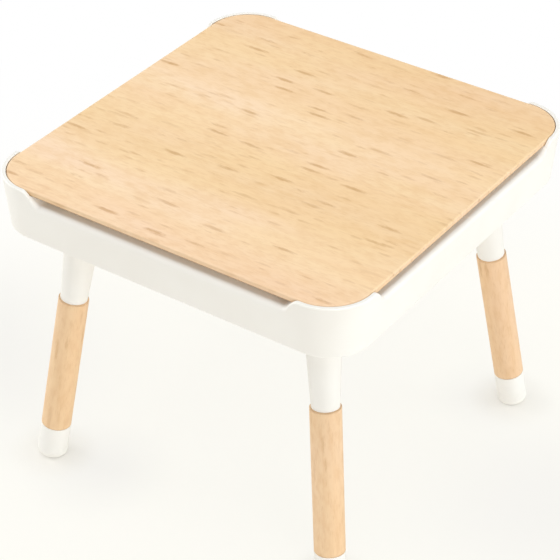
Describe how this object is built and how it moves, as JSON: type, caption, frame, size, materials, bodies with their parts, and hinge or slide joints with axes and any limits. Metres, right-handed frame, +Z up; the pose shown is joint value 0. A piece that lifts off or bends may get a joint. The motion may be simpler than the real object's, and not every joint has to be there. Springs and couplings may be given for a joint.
{
  "type": "children's storage table",
  "caption": "Square low table for children: a lift-off wooden lid lies in a white storage tray with finger recesses, on splayed legs with white sockets and feet.",
  "frame": {"origin": "on the floor under the middle of the table", "axes": "+Z up; +X and +Y along the lid's sides, -Y towards the side called front"},
  "size_m": [0.5736, 0.5736, 0.48],
  "materials": {
    "white_plastic": "moulded polypropylene with a fine satin grain",
    "foot_plastic": "moulded polypropylene, satin",
    "lid_beech": "beech-look board with a clear matt lacquer",
    "leg_beech": "turned solid beech with a clear matt lacquer",
    "soft_rubber": "soft translucent rubber",
    "grey_felt": "pressed felt",
    "zinc_steel": "zinc-plated steel"
  },
  "bodies": {
    "frame": {"tray": "white_plastic", "lid_pads": "soft_rubber", "socket_back_right": "white_plastic", "socket_back_left": "white_plastic", "socket_front_left": "white_plastic", "socket_front_right": "white_plastic", "leg_back_right": "leg_beech", "leg_back_left": "leg_beech", "leg_front_left": "leg_beech", "leg_front_right": "leg_beech", "foot_back_right": "foot_plastic", "foot_back_left": "foot_plastic", "foot_front_left": "foot_plastic", "foot_front_right": "foot_plastic", "glide_back_right": "grey_felt", "glide_back_left": "grey_felt", "glide_front_left": "grey_felt", "glide_front_right": "grey_felt", "socket_screws": "zinc_steel", "leg_bolts": "zinc_steel", "leg_washers": "zinc_steel", "foot_screws": "zinc_steel"},
    "lid": {"lid_panel": "lid_beech"}
  },
  "joints": [
    {"name": "lid_lift", "type": "slide", "parent": "frame", "child": "lid", "axis": [0, 0, 1], "range_m": [0, 0.12]}
  ]
}
